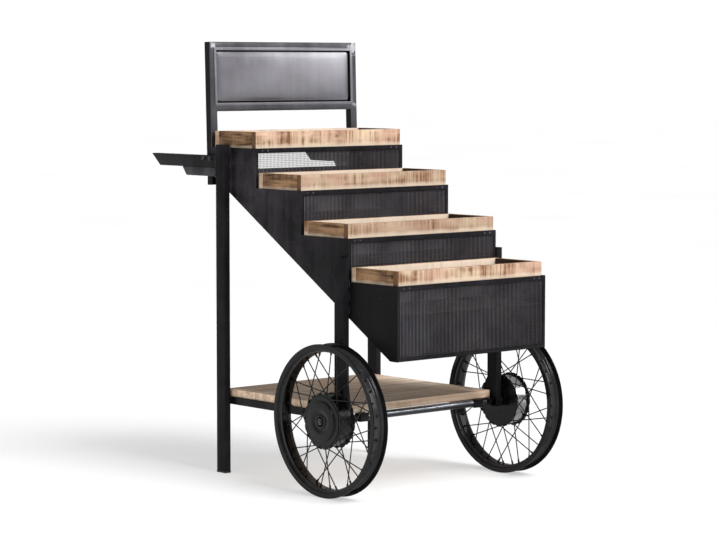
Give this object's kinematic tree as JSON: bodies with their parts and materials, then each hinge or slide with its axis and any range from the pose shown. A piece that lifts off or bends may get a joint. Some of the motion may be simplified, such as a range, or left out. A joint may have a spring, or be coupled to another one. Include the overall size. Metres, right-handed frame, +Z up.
{
  "type": "flower cart stand",
  "caption": "Stepped flower cart with mesh-fronted bins and loose wooden frames, a blank sign, push handles, a lower shelf and spoked wheels.",
  "frame": {"origin": "on the ground, under the centre of the whole cart", "axes": "+Z up; +X to the right seen from the front; +Y from the lowest bin towards the handles"},
  "size_m": [0.8586, 1.2262, 1.4308],
  "materials": {
    "dark_paint": "dark gunmetal paint on steel, satin, lightly worn at the edges",
    "mesh_wire": "fine woven wire, dark gunmetal",
    "sign_steel": "bare mill-finish steel, brushed, darker at the welds",
    "bright_steel": "polished bright steel",
    "fastener_steel": "zinc-plated fasteners, slightly dulled",
    "foot_plastic": "black moulded plastic",
    "box_wood": "rough-sawn pale softwood, bare",
    "shelf_wood": "planed pale boards, lightly soiled",
    "rim_paint": "satin black painted rim",
    "hub_paint": "satin black painted cast hub with a polished drum band",
    "spoke_steel": "darkened steel wire"
  },
  "bodies": {
    "cart": {"side_panel_left": "dark_paint", "side_panel_right": "dark_paint", "bottom_sheet": "dark_paint", "back_top_rail": "dark_paint", "back_sill": "dark_paint", "tier_floors": "dark_paint", "box_ledges": "dark_paint", "mesh_rivets": "fastener_steel", "front_frame_1": "dark_paint", "mesh_panel_1": "mesh_wire", "front_frame_2": "dark_paint", "mesh_panel_2": "mesh_wire", "front_frame_3": "dark_paint", "mesh_panel_3": "mesh_wire", "front_frame_4": "dark_paint", "mesh_panel_4": "mesh_wire", "rear_leg_left": "dark_paint", "front_leg_left": "dark_paint", "handle_bar_left": "dark_paint", "handle_brace_left": "dark_paint", "sign_post_left": "sign_steel", "shelf_side_rail_left": "dark_paint", "rear_leg_right": "dark_paint", "front_leg_right": "dark_paint", "handle_bar_right": "dark_paint", "handle_brace_right": "dark_paint", "sign_post_right": "sign_steel", "shelf_side_rail_right": "dark_paint", "leg_caps": "dark_paint", "rear_feet": "foot_plastic", "handle_bolts": "fastener_steel", "sign_top_rail": "sign_steel", "sign_bottom_rail": "sign_steel", "sign_panel": "sign_steel", "shelf_rear_rail": "dark_paint", "shelf_boards": "shelf_wood", "axle_rod": "fastener_steel", "axle_tube": "bright_steel", "axle_blocks": "dark_paint", "axle_hardware": "fastener_steel"},
    "box_frame_1": {"box_long_boards_1": "box_wood", "box_side_boards_1": "box_wood"},
    "box_frame_2": {"box_long_boards_2": "box_wood", "box_side_boards_2": "box_wood"},
    "box_frame_3": {"box_long_boards_3": "box_wood", "box_side_boards_3": "box_wood"},
    "box_frame_4": {"box_long_boards_4": "box_wood", "box_side_boards_4": "box_wood"},
    "wheel_left": {"rim_left": "rim_paint", "spokes_left": "spoke_steel", "nipples_left": "spoke_steel", "hub_left": "hub_paint", "hub_cover_left": "hub_paint", "bearings_left": "bright_steel"},
    "wheel_right": {"rim_right": "rim_paint", "spokes_right": "spoke_steel", "nipples_right": "spoke_steel", "hub_right": "hub_paint", "hub_cover_right": "hub_paint", "bearings_right": "bright_steel"}
  },
  "joints": [
    {"name": "box_lift_1", "type": "slide", "parent": "cart", "child": "box_frame_1", "axis": [0, 0, 1], "range_m": [0, 0.08]},
    {"name": "box_lift_2", "type": "slide", "parent": "cart", "child": "box_frame_2", "axis": [0, 0, 1], "range_m": [0, 0.08]},
    {"name": "box_lift_3", "type": "slide", "parent": "cart", "child": "box_frame_3", "axis": [0, 0, 1], "range_m": [0, 0.08]},
    {"name": "box_lift_4", "type": "slide", "parent": "cart", "child": "box_frame_4", "axis": [0, 0, 1], "range_m": [0, 0.08]},
    {"name": "wheel_spin_left", "type": "hinge", "parent": "cart", "child": "wheel_left", "pos_m": [-0.383, -0.3649, 0.2425], "axis": [1, 0, 0], "continuous": true},
    {"name": "wheel_spin_right", "type": "hinge", "parent": "cart", "child": "wheel_right", "pos_m": [0.383, -0.3649, 0.2425], "axis": [1, 0, 0], "continuous": true}
  ]
}
